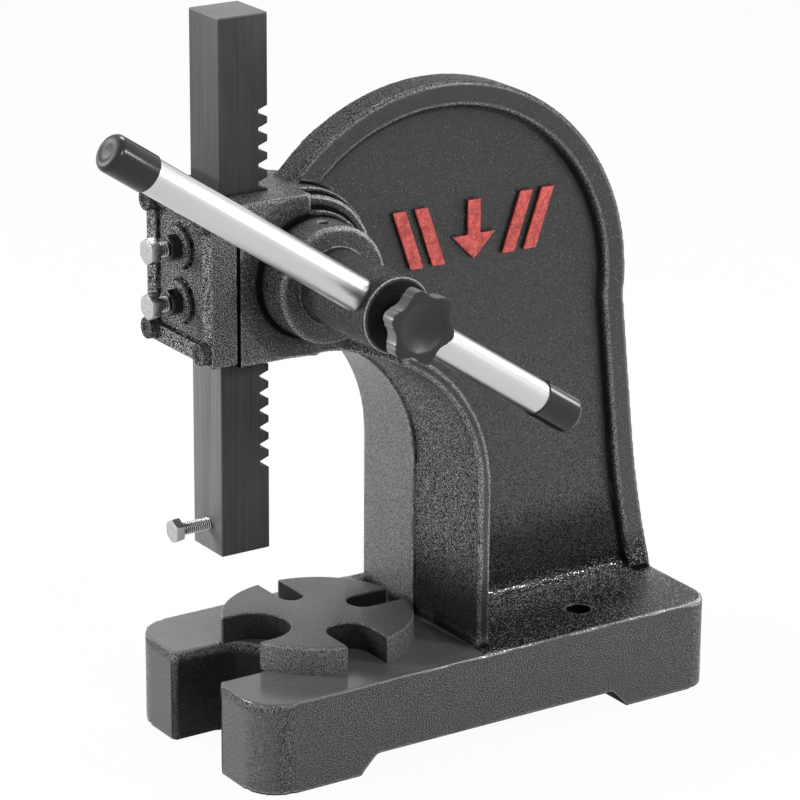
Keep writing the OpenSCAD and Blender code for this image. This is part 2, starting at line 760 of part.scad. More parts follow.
frame_casting();
cast_motif();
front_cap();
gib_strip();
cap_screw(-screw_x, screw_z);  // cap_screw_top_left
cap_screw(screw_x, screw_z);  // cap_screw_top_right
cap_screw(-screw_x, -screw_z);  // cap_screw_low_left
cap_screw(screw_x, -screw_z);  // cap_screw_low_right
adjusting_screw(adjuster_zs[0]);  // adjusting_screw_low
adjusting_screw(adjuster_zs[1]);  // adjusting_screw_top
lock_nut(adjuster_zs[0]);  // lock_nut_low
lock_nut(adjuster_zs[1]);  // lock_nut_top
ram();
tool_clamp_bolt();
pinion_shaft();
lever_bar();
lever_cap(180);  // lever_cap_front
lever_cap(0);  // lever_cap_rear
clamp_knob();
clamp_stud();
anvil_plate();
plate_pivot_pin();
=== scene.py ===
import math

import bpy
import numpy as np
from mathutils import Matrix, Vector


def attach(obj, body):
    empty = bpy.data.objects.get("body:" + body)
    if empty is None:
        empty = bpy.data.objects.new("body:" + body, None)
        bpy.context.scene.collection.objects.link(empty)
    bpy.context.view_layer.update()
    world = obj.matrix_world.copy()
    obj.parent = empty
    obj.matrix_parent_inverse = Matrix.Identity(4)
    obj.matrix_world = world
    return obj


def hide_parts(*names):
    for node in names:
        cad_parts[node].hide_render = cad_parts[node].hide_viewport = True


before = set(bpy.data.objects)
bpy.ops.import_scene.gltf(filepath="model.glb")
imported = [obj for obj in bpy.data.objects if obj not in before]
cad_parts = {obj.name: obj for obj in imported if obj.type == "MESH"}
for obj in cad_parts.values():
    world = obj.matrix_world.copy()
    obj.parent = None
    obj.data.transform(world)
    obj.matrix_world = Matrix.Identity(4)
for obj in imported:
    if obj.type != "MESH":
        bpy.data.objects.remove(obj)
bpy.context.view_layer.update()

# Studio: the press stands on a pale sheet in a white room, seen from its lever side and a little from
# above. A broad lamp on the front left lights it, with softer ones on the lever side, at the rear and
# overhead.
def toward(turn, rise):
    """The direction at a turn in degrees from the front round to the lever side, and a rise from level."""
    turn, rise = math.radians(turn), math.radians(rise)
    return Vector((math.sin(turn) * math.cos(rise), -math.cos(turn) * math.cos(rise), math.sin(rise)))


azimuth, elevation, roll = 56.61, 19.012, math.radians(0.399)
back, sideways = toward(azimuth, elevation), toward(azimuth + 90, 0)
upright = back.cross(sideways)
across = math.cos(roll) * sideways + math.sin(roll) * upright
upward = math.cos(roll) * upright - math.sin(roll) * sideways
eye = Vector((1.4306, -0.8506, 0.7460))
bpy.ops.object.select_all(action="DESELECT")
bpy.ops.object.camera_add()
camera = bpy.context.object
camera.name = "photo_camera"
camera.data.sensor_width = 36
camera.data.lens = 173.61
camera.matrix_world = Matrix((
    (across.x, upward.x, back.x, eye.x),
    (across.y, upward.y, back.y, eye.y),
    (across.z, upward.z, back.z, eye.z),
    (0, 0, 0, 1),
))
bpy.context.scene.camera = camera
bpy.context.scene.view_settings.view_transform = "Standard"

press_middle = Vector((0, 0.09, 0.16))
for name, turn, rise, far, width, height, power in (
    ("lamp_front_left", -36, 17, 1.5, 0.45, 0.45, 20.0),
    ("lamp_lever_side", 84, 32, 1.7, 0.5, 0.4, 8.0),
    ("lamp_rear_right", 128, 24, 1.5, 0.24, 0.24, 8.0),
    ("lamp_rear", 178, 18, 1.5, 0.40, 0.26, 3.6),
    ("lamp_overhead", 232, 62, 1.4, 0.6, 0.25, 10.0),
):
    aim = toward(turn, rise)
    bpy.ops.object.light_add(type="AREA", location=press_middle + far * aim)
    lamp = bpy.context.object
    lamp.name = name
    lamp.rotation_euler = aim.to_track_quat("Z", "Y").to_euler()
    lamp.data.shape = "RECTANGLE"
    lamp.data.size, lamp.data.size_y = width, height
    lamp.data.energy = power


def fill(node, sockets):
    """Gives a node's sockets their links or fixed values."""
    for name, value in sockets.items():
        if isinstance(value, Wire):
            node.id_data.links.new(value.out, node.inputs[name])
        else:
            node.inputs[name].default_value = value


def colour(shade):
    """What a colour socket takes, from a wire, a red, green and blue, or a number for a plain grey."""
    if isinstance(shade, Wire):
        return shade
    return (*shade, 1) if isinstance(shade, tuple) else (shade, shade, shade, 1)


class Wire:
    """An output of a shader node. Python's operators on it add Math nodes."""

    def __init__(self, out):
        self.out = out

    def node(self, kind, settings, sockets, take=0):
        """Adds a node with its settings and sockets, and takes one of its outputs."""
        made = self.out.id_data.nodes.new(kind)
        for name, value in settings.items():
            setattr(made, name, value)
        fill(made, sockets)
        return Wire(made.outputs[take])

    def math(self, operation, first, second):
        return self.node("ShaderNodeMath", {"operation": operation}, {0: first, 1: second})

    def __add__(self, other): return self.math("ADD", self, other)
    def __radd__(self, other): return self.math("ADD", other, self)
    def __sub__(self, other): return self.math("SUBTRACT", self, other)
    def __rsub__(self, other): return self.math("SUBTRACT", other, self)
    def __mul__(self, other): return self.math("MULTIPLY", self, other)
    def __rmul__(self, other): return self.math("MULTIPLY", other, self)
    def __abs__(self): return self.math("ABSOLUTE", self, 0)
    def __or__(self, other): return self.math("MAXIMUM", self, other)

    def between(self, low, high):
        """Rises smoothly from 0 at low to 1 at high, and falls where low is the greater."""
        return self.node("ShaderNodeMapRange", {"interpolation_type": "SMOOTHSTEP"},
                         {"Value": self, "From Min": low, "From Max": high})

    def blend(self, under, over):
        """A colour that goes from one, where this is 0, to another, where it is 1."""
        return self.node("ShaderNodeMix", {"data_type": "RGBA"},
                         {0: self, 6: colour(under), 7: colour(over)}, 2)

    def noise(self, scale, detail, roughness=0.5):
        return self.node("ShaderNodeTexNoise", {}, {"Vector": self, "Scale": scale, "Detail": detail,
                                                    "Roughness": roughness})

    def stretched(self, scale, turn=(0, 0, 0)):
        return self.node("ShaderNodeMapping", {}, {"Vector": self, "Scale": scale, "Rotation": turn})

    def stored(self, name):
        """A value that is stored at the points of the piece."""
        return self.node("ShaderNodeAttribute", {"attribute_name": name}, {}, 2)

    def parts(self):
        split = self.node("ShaderNodeSeparateXYZ", {}, {0: self}).out.node
        return [Wire(out) for out in split.outputs]

    def bump(self, depth, strength):
        return self.node("ShaderNodeBump", {}, {"Height": self, "Distance": depth, "Strength": strength})


def showing(tree):
    """1 for rays that see the background itself, straight, in a reflection or through glass."""
    ray = tree.nodes.new("ShaderNodeLightPath").outputs
    return Wire(ray["Is Camera Ray"]) | Wire(ray["Is Glossy Ray"]) | Wire(ray["Is Transmission Ray"])


world = bpy.data.worlds.new("white_room")
bpy.context.scene.world = world
world.use_nodes = True
room = world.node_tree.nodes["Background"]
fill(room, {"Color": colour(1), "Strength": 0.12 + 0.88 * showing(world.node_tree)})

bpy.ops.mesh.primitive_plane_add(size=8)
sheet = bpy.context.object
sheet.name = "pale_sheet"
pale = bpy.data.materials.new("pale_sheet")
pale.use_nodes = True
paper = pale.node_tree.nodes["Principled BSDF"]
fill(paper, {"Base Color": colour(0.86), "Roughness": 0.9, "Specular IOR Level": 0.0})
glow = pale.node_tree.nodes.new("ShaderNodeEmission")
white = 0.96 * showing(pale.node_tree)
blank = white.node("ShaderNodeMixShader", {}, {0: white, 1: Wire(paper.outputs[0]), 2: Wire(glow.outputs[0])})
fill(pale.node_tree.nodes["Material Output"], {"Surface": blank})
sheet.data.materials.append(pale)


# Frame: one grey iron casting with base, column flange, web, arched rim and head. It is cast in sand,
# so its edges are soft and its skin is grainy, then sprayed with black enamel; the front pad is milled.
def copied(node, name):
    """A new piece with a CAD node's mesh, its seams closed and its flat faces whole."""
    piece = bpy.data.objects.new(name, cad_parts[node].data.copy())
    bpy.context.scene.collection.objects.link(piece)
    bpy.ops.object.select_all(action="DESELECT")
    piece.select_set(True)
    bpy.context.view_layer.objects.active = piece
    bpy.ops.object.mode_set(mode="EDIT")
    bpy.ops.mesh.select_all(action="SELECT")
    bpy.ops.mesh.customdata_custom_splitnormals_clear()
    bpy.ops.mesh.remove_doubles(threshold=0.000002)
    bpy.ops.mesh.dissolve_limited(angle_limit=math.radians(0.5))
    bpy.ops.object.mode_set(mode="OBJECT")
    piece.data.materials.clear()
    return piece


def modified(piece, kind, **settings):
    """Adds a modifier to a piece and applies it."""
    bpy.context.view_layer.objects.active = piece
    modifier = piece.modifiers.new(kind.lower(), kind)
    for name, value in settings.items():
        setattr(modifier, name, value)
    bpy.ops.object.modifier_apply(modifier=modifier.name)


def thinned(piece, triangles):
    """Thins a remeshed piece to about a number of triangles, and shades it smooth."""
    modified(piece, "DECIMATE", ratio=min(1.0, triangles / (2 * len(piece.data.polygons))))
    bpy.ops.object.shade_smooth()


shaft_y, shaft_z = 0.025698, 0.2353
bolt_x, bolt_y = 0.0363, 0.1723
oil_hole_x = 0.03835
pin_y = 0.0464
base_top = 0.045
throat_y, throat_z, throat_r = 0.029, 0.124, 0.0828
boss_r, bolt_hole_r = 0.0388, 0.00595
casting = copied("frame_casting", "frame_body")
modified(casting, "REMESH", mode="VOXEL", voxel_size=0.001, use_smooth_shade=True)
soft = casting.vertex_groups.new(name="soft")
for vertex in casting.data.vertices:
    x, y, z = vertex.co
    from_shaft = math.hypot(y - shaft_y, z - shaft_z)
    from_oil_hole = math.hypot(abs(x) - oil_hole_x, y - shaft_y)
    from_bolt = math.hypot(abs(x) - bolt_x, y - bolt_y)
    from_pin = math.hypot(x, y - pin_y)
    weight = 1.0
    for inside, share in (
        (0.040 < z < 0.048 and y < 0.100, 0.3),  # milled pad
        (from_shaft < 0.045 and abs(x) > 0.0100, 0.08),  # bosses
        (z > 0.19 and abs(x) < 0.017 and y < 0.020, 0.1),  # ram channel
        (z > 0.19 and y < -0.0105, 0.12),  # joint with the cap
        (from_shaft < 0.0205 and abs(x) > 0.040, 0.1),  # mouths of the shaft bore
        (from_oil_hole < 0.005 and z > 0.25, 0.05),
        (from_bolt < 0.0085 or (from_pin < 0.009 and z > 0.02), 0.1),
        (z < 0.0015, 0.3),  # bench face
        (abs(x) < 0.003 and 0.02 < y < 0.108 and 0.055 < z < 0.196, 0.35),  # step in the throat
    ):
        if inside:
            weight = share
    soft.add([vertex.index], weight, "REPLACE")
modified(casting, "SMOOTH", factor=0.5, iterations=9, vertex_group="soft")
thinned(casting, 190000)


def mark_edges(piece):
    """Stores the surface's bend at each point, in 1/m, above 0 on edges and below in corners, how near
    a corner the point lies, and how far it faces sideways and up."""
    corner_bend = 120
    mesh = piece.data
    count = len(mesh.vertices)
    spots, normals = np.empty(3 * count), np.empty(3 * count)
    pairs = np.empty(2 * len(mesh.edges), int)
    mesh.vertices.foreach_get("co", spots)
    mesh.vertex_normals.foreach_get("vector", normals)
    mesh.edges.foreach_get("vertices", pairs)
    spots, normals, pairs = spots.reshape(-1, 3), normals.reshape(-1, 3), pairs.reshape(-1, 2)
    starts, ends = np.concatenate([pairs, pairs[:, ::-1]]).T
    degree = np.maximum(np.bincount(starts, minlength=count), 1)
    step = spots[ends] - spots[starts]
    bend = -2 * (step * normals[starts]).sum(1) / np.maximum((step * step).sum(1), 1e-9)
    bend = np.bincount(starts, bend, count) / degree
    for _ in range(2):
        bend = 0.4 * bend + 0.6 * np.bincount(starts, bend[ends], count) / degree
    crease = np.clip(-bend / corner_bend, 0, 1)
    for _ in range(10):
        crease = np.maximum(0.9 * crease, np.bincount(starts, crease[ends], count) / degree)
    flank, level = abs(normals[:, 0]), normals[:, 2]
    for name, values in (("bend", bend), ("crease", crease), ("flank", flank), ("level", level)):
        mesh.attributes.new(name, "FLOAT", "POINT").data.foreach_set("value", values.astype(np.float32))


def coated(name):
    """A new material, its shader and the coordinates of the piece that wears it."""
    material = bpy.data.materials.new(name)
    material.use_nodes = True
    place = material.node_tree.nodes.new("ShaderNodeTexCoord")
    return material, material.node_tree.nodes["Principled BSDF"], Wire(place.outputs["Object"])


def pitted(shader, gloss):
    """Lets dull black pits show through a glossy coat where gloss is 0."""
    pit = gloss.node("ShaderNodeBsdfDiffuse", {}, {"Color": colour(0.004)})
    both = gloss.node("ShaderNodeMixShader", {}, {0: gloss, 1: pit, 2: Wire(shader.outputs[0])})
    fill(shader.id_data.nodes["Material Output"], {"Surface": both})


def sand_grain(place):
    """The fine grain that moulding sand leaves on a casting."""
    return place.stretched((1600, 2200, 2200)).noise(1.0, 2.0, 0.65).between(0.42, 0.58)


def circle(first, second, radius, fade):
    """1 inside a circle round the place where both distances are 0, with a soft edge."""
    return (first * first + second * second).between((radius + fade) ** 2, (radius - fade) ** 2)


enamel_ior = 1.56
mark_edges(casting)
enamel, shader, place = coated("black_enamel")
x, y, z = place.parts()
out, above = abs(x), z - base_top
sand, lumps, cloud = sand_grain(place), place.noise(260, 2.0), place.noise(22, 3.0)
stars, strokes = place.noise(1900, 1.0), place.stretched((1800, 60, 60)).noise(1.0, 2.0)
bend, level = place.stored("bend"), place.stored("level")
edges, ridges, corners = bend.between(50, 170), bend.between(130, 230), bend.between(-40, -170)
# Painted shade: the stored crease value, spread out from concave corners, darkens the paint near creases.
crease_shade = place.stored("crease").between(0.05, 0.6)
sides = place.stored("flank").between(0.80, 0.95)
tops, unders = level.between(0.70, 0.90), level.between(-0.20, -0.45)

throat = circle(y - throat_y, (z - throat_z) | 0, throat_r, 0.0004) * above.between(0.001, 0.007)
left_wing = x.between(0.0014, -0.0004) * throat * z.between(0.199, 0.196)
boss = circle(y - shaft_y, z - shaft_z, boss_r, 0.0004)
boss_rings = boss * y.between(0.015, 0.035) * z.between(0.230, 0.245)
head = boss | y.between(0.030, 0.026) * z.between(0.186, 0.190)
cap_seam = y.between(-0.0113, -0.0118) * head
smooth = sides * (1 - head)
lit_rim = y.between(0.185, 0.155) * z.between(0.130, 0.160) * out.between(0.0100, 0.0092) * (1 - head)
plinth = above.between(-0.0030, -0.0065)
brim = above.between(-0.0045, -0.0025) * above.between(0.0025, 0.0010) * y.between(0.040, 0.105)
milled = above.between(-0.0010, -0.0004) * above.between(0.0020, 0.0010) * y.between(0.1022, 0.1014)
bed = tops * above.between(-0.0015, -0.0005) * above.between(0.004, 0.002) * (1 - milled)
bolt_hole = circle(out - bolt_x, y - bolt_y, bolt_hole_r, 0.00025)
behind_flange = y.between(0.108, 0.112)
foot = above.between(0.0005, 0.0025) * above.between(0.023, 0.009) * behind_flange * out.between(0.026, 0.016)
low_web = z.between(0.115, 0.062) * (1 - plinth)

calm = 0.78 - 0.18 * z.between(0.235, 0.060) - 0.3 * low_web - 0.3 * plinth
grit = (1 - smooth * calm) * (1 - 0.45 * boss * sides) * (1 - 0.85 * milled)
grit = grit * (1 - 0.5 * (left_wing | plinth * (1 - sides))) | foot
# Painted shade: the throat's foot where the plate's shadow falls, a band low on the web by the rim, the rim's
# inner wall high up, the creases and the fork slot's front part are painted darker and duller.
painted_shade = (throat * z.between(0.095, 0.058) * x.between(-0.004, 0.004)
        | smooth * z.between(0.096, 0.068) * out.between(0.0078, 0.0062) * behind_flange * (1.25 - 0.6 * sand)
        | 0.5 * z.between(0.200, 0.240) * out.between(0.0098, 0.0088) * (1 - sides) * (1 - head)
        | 0.75 * crease_shade * (1 - foot) * (1 - 0.9 * lit_rim)
        | plinth * out.between(0.0240, 0.0232) * y.between(0.050, 0.040))
# Painted shade: concave corners, the bolt holes and the plinth's undersides are painted near black and lose
# their gloss, together with the cap's seam, which is a real dark joint.
seam_and_painted_shade = 0.9 * corners * (1 - 0.85 * lit_rim) | cap_seam | bolt_hole | 0.9 * unders * plinth
# Painted highlights: sparkles on the foot fillet and the base's top edge (the fillet ones also metallic),
# specks on the bed and the walls, and light lines along convex edges, strongest on the boss's ring steps.
spark = stars.between(0.57, 0.62) * foot | edges * brim * sand
bed_glints = (stars + 0.065 * out.between(0.034, 0.014)).between(0.615, 0.67) * bed
wall = smooth * z.between(0.31, 0.27) | head * sides
wall_glints = 0.4 * (stars + 0.07 * head).between(0.685, 0.73) * wall
edge_glints = edges * sand * (1 - boss) | ridges * boss * (0.35 + 0.65 * sand)
glint = bed_glints | wall_glints | spark | edge_glints * (0.35 + 0.65 * (boss_rings | brim | 0.3 * throat))

# Painted shading: the side walls are painted lighter low down and darker high up, the plinth and the rim face
# darker, and the head outside the boss lighter. The sand term is the real grain.
fade = (0.20 * z.between(0.26, 0.07) - 0.11 * z.between(0.24, 0.30) - 0.15 - 0.20 * plinth
        - 0.05 * out.between(0.0078, 0.0084))
grain = 0.48 + 0.10 * head * (1 - boss) + smooth * fade + (grit + 0.5 * plinth * sides) * (sand - 0.5)
paint = (grain * grain * grain).blend(0.001, (0.28, 0.28, 0.282))
# Painted light: the throat's left wing, which faces the front-left lamp, is painted lighter grey.
paint = (0.6 * left_wing * (0.4 + 1.2 * sand)).blend(paint, (0.19, 0.19, 0.191))
# Painted light: the plinth's faces that do not face sideways are painted lighter grey.
paint = (0.5 * plinth * (1 - sides) * (0.5 + sand)).blend(paint, (0.16, 0.16, 0.161))
# Painted light from above: the head's top faces are painted lighter grey.
paint = (0.5 * head * tops).blend(paint, (0.24, 0.24, 0.241))
# Painted shade: the bed behind the milled pad, the foot fillet and the boss's flanks are painted almost
# black, as is the painted shade above.
paint = (0.93 * (bed | foot) | 0.8 * painted_shade | 0.6 * boss * sides).blend(paint, 0.004)
# The painted highlights go on light grey, and the painted shade and the cap's seam go on near black.
paint = seam_and_painted_shade.blend((0.9 * glint).blend(paint, (0.85, 0.85, 0.86)), 0.002)
iron = (0.45 * strokes + 0.3 * cloud + 0.25 * sand).blend(0.040, 0.23)
relief = (0.12 + 0.88 * grit) * (0.15 * lumps + 0.3 * sand) * (1 - 0.85 * milled) * (1 - 0.8 * bed)
fill(shader, {
    "Base Color": milled.blend(paint, iron),
    "Metallic": 0.8 * spark,
    "Roughness": 0.16 + 0.06 * cloud - 0.02 * milled,
    "IOR": enamel_ior,
    "Normal": relief.bump(0.0008, 0.8),
})
gloss = (1 - (0.8 - 0.15 * head) * grit * (1 - sand)) * (1 - seam_and_painted_shade) * (1 - 0.6 * painted_shade)
pitted(shader, gloss * (1 - 0.65 * foot * (1 - spark)))
casting.data.materials.append(enamel)
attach(casting, "frame")
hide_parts("frame_casting")

# Badge: five plain shapes that stand up from the web on the lever side, cast with the frame and then
# picked out in red by hand with a roller, so that the paint is patchy and their flanks are almost bare.
def eased(piece, width, segments):
    """Rounds the sharp edges of a piece."""
    modified(piece, "BEVEL", width=width, segments=segments, limit_method="ANGLE",
             angle_limit=math.radians(40))


badge = copied("cast_motif", "red_badge")
eased(badge, 0.0006, 3)
red, shader, place = coated("rolled_red")
wear, flake = place.noise(260, 4.0, 0.65), place.noise(1100, 2.0)
crown = place.parts()[0].between(0.0059, 0.0068)
paint = wear.between(0.30, 0.68).blend((0.34, 0.028, 0.024), (0.74, 0.105, 0.090))
paint = (0.55 * flake.between(0.58, 0.68)).blend(paint, (0.80, 0.36, 0.33))
paint = (0.5 * flake.between(0.36, 0.30)).blend(paint, (0.12, 0.014, 0.012))
paint = (1 - crown).blend(paint, (0.05, 0.012, 0.012))
fill(shader, {"Base Color": paint, "Roughness": 0.35 + 0.2 * wear,
              "Normal": (0.6 * wear + 0.4 * flake).bump(0.0005, 0.7)})
badge.data.materials.append(red)
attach(badge, "frame")
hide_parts("cast_motif")

# Front cap: a thick cast plate bolted over the ram channel, with a raised border and two raised pads for
# the adjusting screws. It is cast and sprayed as the frame is; its inner corners are darkened as painted
# shade.
cover = copied("front_cap", "cap_plate")
modified(cover, "REMESH", mode="VOXEL", voxel_size=0.0005, use_smooth_shade=True)
modified(cover, "SMOOTH", factor=0.5, iterations=3)
thinned(cover, 60000)
mark_edges(cover)
cover_paint, shader, place = coated("cap_enamel")
sand, lumps, bend = sand_grain(place), place.noise(260, 2.0), place.stored("bend")
seam_y = -0.0130
seam = place.parts()[1].between(seam_y - 0.0005, seam_y)
# Painted shade: the inner corners are painted near black and unglossed in patches, along with the seam, which
# is a real dark joint.
corner_shade_and_seam = bend.between(-40, -170) * (0.25 + 0.6 * place.noise(420, 2.0).between(0.40, 0.60)) | seam
paint = (sand * sand * sand).blend(0.001, (0.36, 0.36, 0.362))
# Painted highlight: convex edges are painted lighter grey.
paint = (0.35 * bend.between(50, 170) * sand).blend(paint, (0.50, 0.50, 0.51))
fill(shader, {"Base Color": corner_shade_and_seam.blend(paint, 0.002), "Roughness": 0.16 + 0.08 * lumps, "IOR": enamel_ior,
              "Normal": (0.25 * lumps + 0.3 * sand).bump(0.0008, 0.8)})
pitted(shader, (0.25 + 0.75 * sand) * (1 - corner_shade_and_seam))
cover.data.materials.append(cover_paint)
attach(cover, "frame")
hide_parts("front_cap")

# Gib: a flat steel strip in a pocket behind the cap, pressed against the ram by the adjusting screws.
# It is ground all over and lies almost wholly out of sight.
strip = copied("gib_strip", "gib_bar")
eased(strip, 0.0004, 2)
ground, shader, place = coated("gib_steel")
lines = place.stretched((900, 900, 30)).noise(1.0, 3.0)
fill(shader, {"Base Color": lines.blend(0.12, (0.30, 0.30, 0.31)), "Metallic": 0.9,
              "Roughness": 0.35 + 0.2 * lines, "Normal": lines.bump(0.0001, 0.4)})
strip.data.materials.append(ground)
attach(strip, "frame")
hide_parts("gib_strip")

# Cap screws: four socket-head screws, one in each corner of the cap. They were sprayed over with the
# cap, so paint softens their rims and fills their sockets to a shallow dimple.
screw_paint, shader, place = coated("screw_enamel")
sand, cloud = sand_grain(place), place.noise(180, 2.0)
fill(shader, {"Base Color": (sand * sand * sand).blend(0.002, (0.20, 0.20, 0.202)),
              "Roughness": 0.16 + 0.08 * cloud, "IOR": enamel_ior,
              "Normal": (0.5 * cloud + 0.3 * sand).bump(0.0008, 0.8)})
pitted(shader, 0.1 + 0.8 * sand)
socket_floor_y, dimple_y = -0.0275, -0.0300
for corner in ("top_left", "top_right", "low_left", "low_right"):
    screw = copied("cap_screw_" + corner, "corner_screw_" + corner)
    for vertex in screw.data.vertices:
        if abs(vertex.co.y - socket_floor_y) < 0.001:
            vertex.co.y = dimple_y
    eased(screw, 0.0007, 4)
    bpy.ops.object.shade_smooth_by_angle(angle=math.radians(35))
    screw.data.materials.append(screw_paint)
    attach(screw, "frame")
    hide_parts("cap_screw_" + corner)

# Adjusting screws: two hex screws with rolled threads that set the gib, zinc plated and bare, so they
# stand out bright from the black cap. Each is a hex head with turned-off corners on a threaded shank.
def hex_screw(name, across_flats, head_t, radius, length, pitch):
    """A hex screw along Y with its head's face at y = 0 and its shank to y = length."""
    along_y = (math.pi / 2, 0, 0)
    root = radius - 0.5 * pitch
    core_start = 0.6 * head_t
    thread_start = head_t - 0.5 * pitch
    turns = int((length - thread_start) / pitch) - 1
    bpy.ops.object.select_all(action="DESELECT")
    bpy.ops.mesh.primitive_cylinder_add(vertices=6, radius=across_flats / math.sqrt(3), depth=head_t,
                                        location=(0, head_t / 2, 0), rotation=along_y)
    head = bpy.context.object
    head.name = name
    bpy.ops.object.transform_apply(location=True, rotation=True, scale=True)
    bpy.ops.mesh.primitive_cone_add(vertices=72, radius1=across_flats, radius2=0.53 * across_flats,
                                    depth=across_flats, location=(0, across_flats / 2, 0), rotation=along_y)
    turned = bpy.context.object
    bpy.ops.object.transform_apply(location=True, rotation=True, scale=True)
    modified(head, "BOOLEAN", operation="INTERSECT", object=turned, solver="EXACT")
    bpy.data.objects.remove(turned)
    modified(head, "BEVEL", width=0.00022, segments=2, limit_method="ANGLE", angle_limit=math.radians(25))
    bpy.ops.object.select_all(action="DESELECT")
    bpy.ops.mesh.primitive_cylinder_add(vertices=40, radius=root, depth=length - core_start,
                                        location=(0, (length + core_start) / 2, 0), rotation=along_y)
    core = bpy.context.object
    bpy.ops.object.transform_apply(location=True, rotation=True, scale=True)
    modified(core, "BEVEL", width=0.0004, segments=2, limit_method="ANGLE", angle_limit=math.radians(60))
    bpy.ops.object.select_all(action="DESELECT")
    bpy.ops.mesh.primitive_circle_add(vertices=3, radius=pitch)
    thread = bpy.context.object
    sunk = radius - 0.55 * pitch
    for vertex, (reach, along) in zip(thread.data.vertices, ((sunk, 0.02), (radius, 0.5), (sunk, 0.98))):
        vertex.co = (reach, thread_start + along * pitch, 0)
    modified(thread, "SCREW", axis="Y", angle=2 * math.pi, screw_offset=pitch, iterations=turns,
             steps=28, render_steps=28)
    bpy.ops.object.mode_set(mode="EDIT")
    bpy.ops.mesh.select_all(action="SELECT")
    bpy.ops.mesh.remove_doubles(threshold=0.000001)
    bpy.ops.mesh.fill_holes(sides=4)
    bpy.ops.mesh.normals_make_consistent(inside=False)
    bpy.ops.object.mode_set(mode="OBJECT")
    core.select_set(True)
    head.select_set(True)
    bpy.context.view_layer.objects.active = head
    bpy.ops.object.join()
    bpy.ops.object.shade_smooth_by_angle(angle=math.radians(28))
    head.data.materials.clear()
    mark_edges(head)
    groove = [(radius - math.hypot(vertex.co.x, vertex.co.z)) / (radius - root)
              for vertex in head.data.vertices]
    head.data.attributes.new("groove", "FLOAT", "POINT").data.foreach_set("value", groove)
    return head


def placed(piece, name, where):
    """A copy of a piece with its own mesh, moved to its place."""
    twin = bpy.data.objects.new(name, piece.data.copy())
    twin.data.transform(Matrix.Translation(where))
    bpy.context.scene.collection.objects.link(twin)
    return twin


zinc, shader, place = coated("bright_zinc")
frost, scuff = place.noise(420, 4.0, 0.6), place.noise(1600, 2.0)
groove, flank, level = place.stored("groove"), place.stored("flank"), place.stored("level")
# Painted shade: the head's six flats are painted dark grey, unlike its front face, and the thread roots near
# black.
facet_shade = (flank * flank + level * level).between(0.35, 0.75) * groove.between(0.05, -0.05)
shaded_plating = (0.6 * facet_shade).blend(frost.blend((0.36, 0.36, 0.37), (0.64, 0.64, 0.65)), (0.13, 0.13, 0.132))
fill(shader, {"Base Color": (0.9 * groove.between(0.15, 0.75)).blend(shaded_plating, 0.02), "Metallic": 1.0,
              "Roughness": 0.18 + 0.20 * frost, "Normal": (0.5 * frost + 0.5 * scuff).bump(0.00025, 0.5)})
adjuster_face_y = -0.043
adjuster = hex_screw("adjuster_pattern", across_flats=0.011, head_t=0.0045, radius=0.0035, length=0.0264,
                     pitch=0.00125)
for level_name, height in (("low", 0.22425), ("top", 0.24975)):
    screw = placed(adjuster, "gib_screw_" + level_name, (0, adjuster_face_y, height))
    screw.data.materials.append(zinc)
    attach(screw, "frame")
    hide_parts("adjusting_screw_" + level_name)
bpy.data.objects.remove(adjuster)

# Lock nuts: one black-oxide hex nut on each adjusting screw, tight against its pad on the cap.
# Their edges are lightly rounded and catch the light.
oxide, shader, place = coated("black_oxide")
frost = place.noise(500, 3.0, 0.6)
fill(shader, {"Base Color": frost.blend(0.004, (0.014, 0.014, 0.015)), "Roughness": 0.14 + 0.14 * frost,
              "Normal": frost.bump(0.0003, 0.5)})
for level_name in ("low", "top"):
    nut = copied("lock_nut_" + level_name, "jam_nut_" + level_name)
    eased(nut, 0.0005, 3)
    bpy.ops.object.shade_smooth_by_angle(angle=math.radians(30))
    nut.data.materials.append(oxide)
    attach(nut, "frame")
    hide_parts("lock_nut_" + level_name)

# Ram: a square steel bar with rack teeth milled in its rear face. Its faces are ground lengthwise and
# darkened with oil, with a ragged dark band above the head that is partly black paint and partly painted
# shade; the clamp bolt's hole and the tool bore are in its lower end.
bar = copied("ram", "rack_ram")
eased(bar, 0.0004, 2)
bpy.ops.object.shade_smooth_by_angle(angle=math.radians(30))
oiled, shader, place = coated("oiled_steel")
x, y, z = place.parts()
lines, pits = place.stretched((1500, 1500, 14)).noise(1.0, 4.0, 0.6), place.noise(1300, 3.0, 0.6)
cloud = place.stretched((40, 40, 16)).noise(1.0, 3.0)
ram_half, ram_top = 0.0125, 0.3545
front = y.between(0.0006 - ram_half, 0.0002 - ram_half)
lever_side = x.between(ram_half - 0.0006, ram_half - 0.0002)
top_end = z.between(ram_top - 0.0010, ram_top - 0.0003)
# Black paint and painted shade: a ragged band just above the head, on the front and the lever side, is
# painted near black.
paint_and_shade_band = (z + 0.006 * lines).between(0.2850, 0.2840) * front
paint_and_shade_band = (paint_and_shade_band | (z + 0.003 * lines).between(0.2765, 0.2750) * lever_side) * z.between(0.250, 0.262)
steel = (0.5 * lines + 0.3 * cloud + 0.2 * pits).between(0.3, 0.7).blend(0.012, (0.10, 0.10, 0.102))
